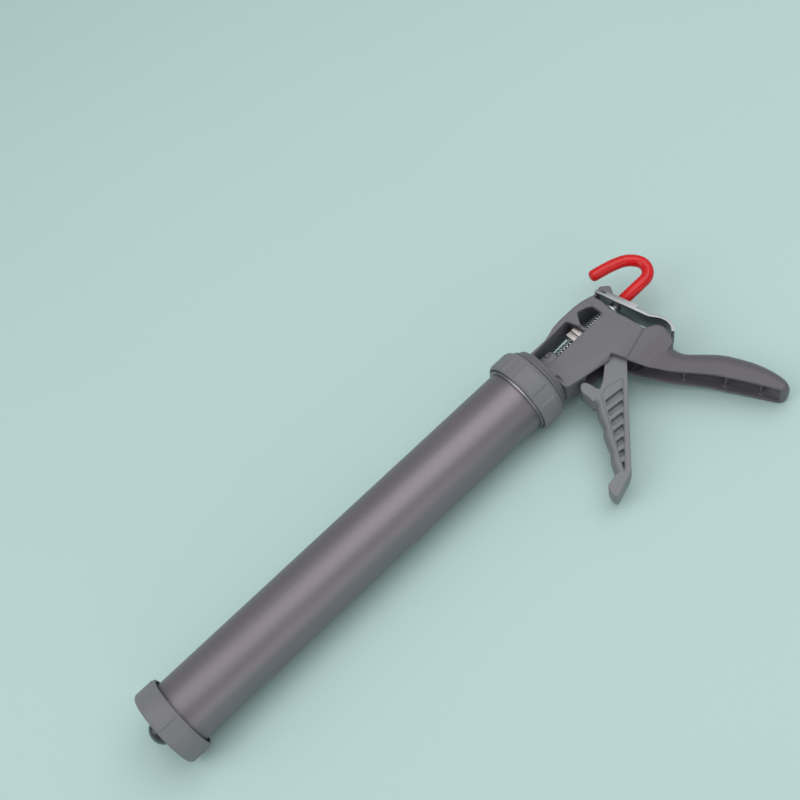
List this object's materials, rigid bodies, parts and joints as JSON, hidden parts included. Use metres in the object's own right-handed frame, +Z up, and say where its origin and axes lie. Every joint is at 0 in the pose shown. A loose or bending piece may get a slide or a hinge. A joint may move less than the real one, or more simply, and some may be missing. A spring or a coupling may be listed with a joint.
{
  "type": "caulking gun",
  "caption": "Barrel caulking gun: closed tube between two screw rings, lever trigger gripping a push rod with piston, hooked rod end, thumb release plate.",
  "frame": {"origin": "the middle of the footprint of the gun as it lies on its side, on the surface it lies on", "axes": "+X runs back along the barrel to the hook, +Y points from the handle side to the rail side, +Z is up, out of the gun's near side"},
  "size_m": [0.5297, 0.1828, 0.064],
  "materials": {
    "frame_grey": "moulded satin grey",
    "trigger_grey": "moulded satin light grey",
    "ring_grey": "moulded matte grey",
    "tube_alu": "satin gunmetal anodised",
    "steel": "ground steel",
    "zinc_steel": "bright zinc plate",
    "spring_steel": "bright spring wire",
    "red_coat": "glossy dipped vinyl",
    "piston_black": "glossy black moulding"
  },
  "bodies": {
    "frame": {"frame": "frame_grey", "trigger_pin": "steel", "return_spring": "spring_steel", "release_spring": "spring_steel"},
    "barrel": {"barrel_hub": "frame_grey", "retaining_collar": "ring_grey", "collar_screw": "zinc_steel", "barrel_tube": "tube_alu", "rear_sleeve": "steel", "front_sleeve": "steel"},
    "rear_ring": {"rear_ring": "ring_grey"},
    "front_ring": {"front_ring": "ring_grey"},
    "rod": {"push_rod": "zinc_steel", "hook_coat": "red_coat", "piston": "piston_black", "piston_washer": "zinc_steel", "piston_nut": "zinc_steel"},
    "drive_plates": {"drive_plate_front": "steel", "drive_plate_rear": "steel"},
    "release_plate": {"release_plate": "zinc_steel"},
    "trigger": {"trigger": "trigger_grey"}
  },
  "joints": [
    {"name": "barrel_spin", "type": "hinge", "parent": "frame", "child": "barrel", "pos_m": [0.10655, 0.05397, 0.032], "axis": [1, 0, 0], "continuous": true},
    {"name": "rear_ring_spin", "type": "hinge", "parent": "barrel", "child": "rear_ring", "pos_m": [0.11655, 0.05397, 0.032], "axis": [1, 0, 0], "continuous": true},
    {"name": "front_ring_off", "type": "slide", "parent": "barrel", "child": "front_ring", "axis": [-1, 0, 0], "range_m": [0, 0.04]},
    {"name": "rod_slide", "type": "slide", "parent": "frame", "child": "rod", "axis": [1, 0, 0], "range_m": [0, 0.335]},
    {"name": "trigger_squeeze", "type": "hinge", "parent": "frame", "child": "trigger", "pos_m": [0.18255, 0.03022, 0.02856], "axis": [0, -0.1435, 0.9897], "range_deg": [0, 30], "stiffness_Nm_per_rad": 0.25, "springref_deg": -11.46},
    {"name": "plates_slide", "type": "slide", "parent": "frame", "child": "drive_plates", "axis": [-1, 0, 0], "range_m": [0, 0.0076], "deforming": ["return_spring"]},
    {"name": "plate_release", "type": "hinge", "parent": "frame", "child": "release_plate", "pos_m": [0.21325, 0.06783, 0.03401], "axis": [0, 0.1435, -0.9897], "range_deg": [0, 2.4], "stiffness_Nm_per_rad": 0.5, "springref_deg": -11.46, "deforming": ["release_spring"]}
  ],
  "couplings": [
    {"joint": "plates_slide", "follows": "trigger_squeeze", "m_per_rad": 0.014324}
  ]
}
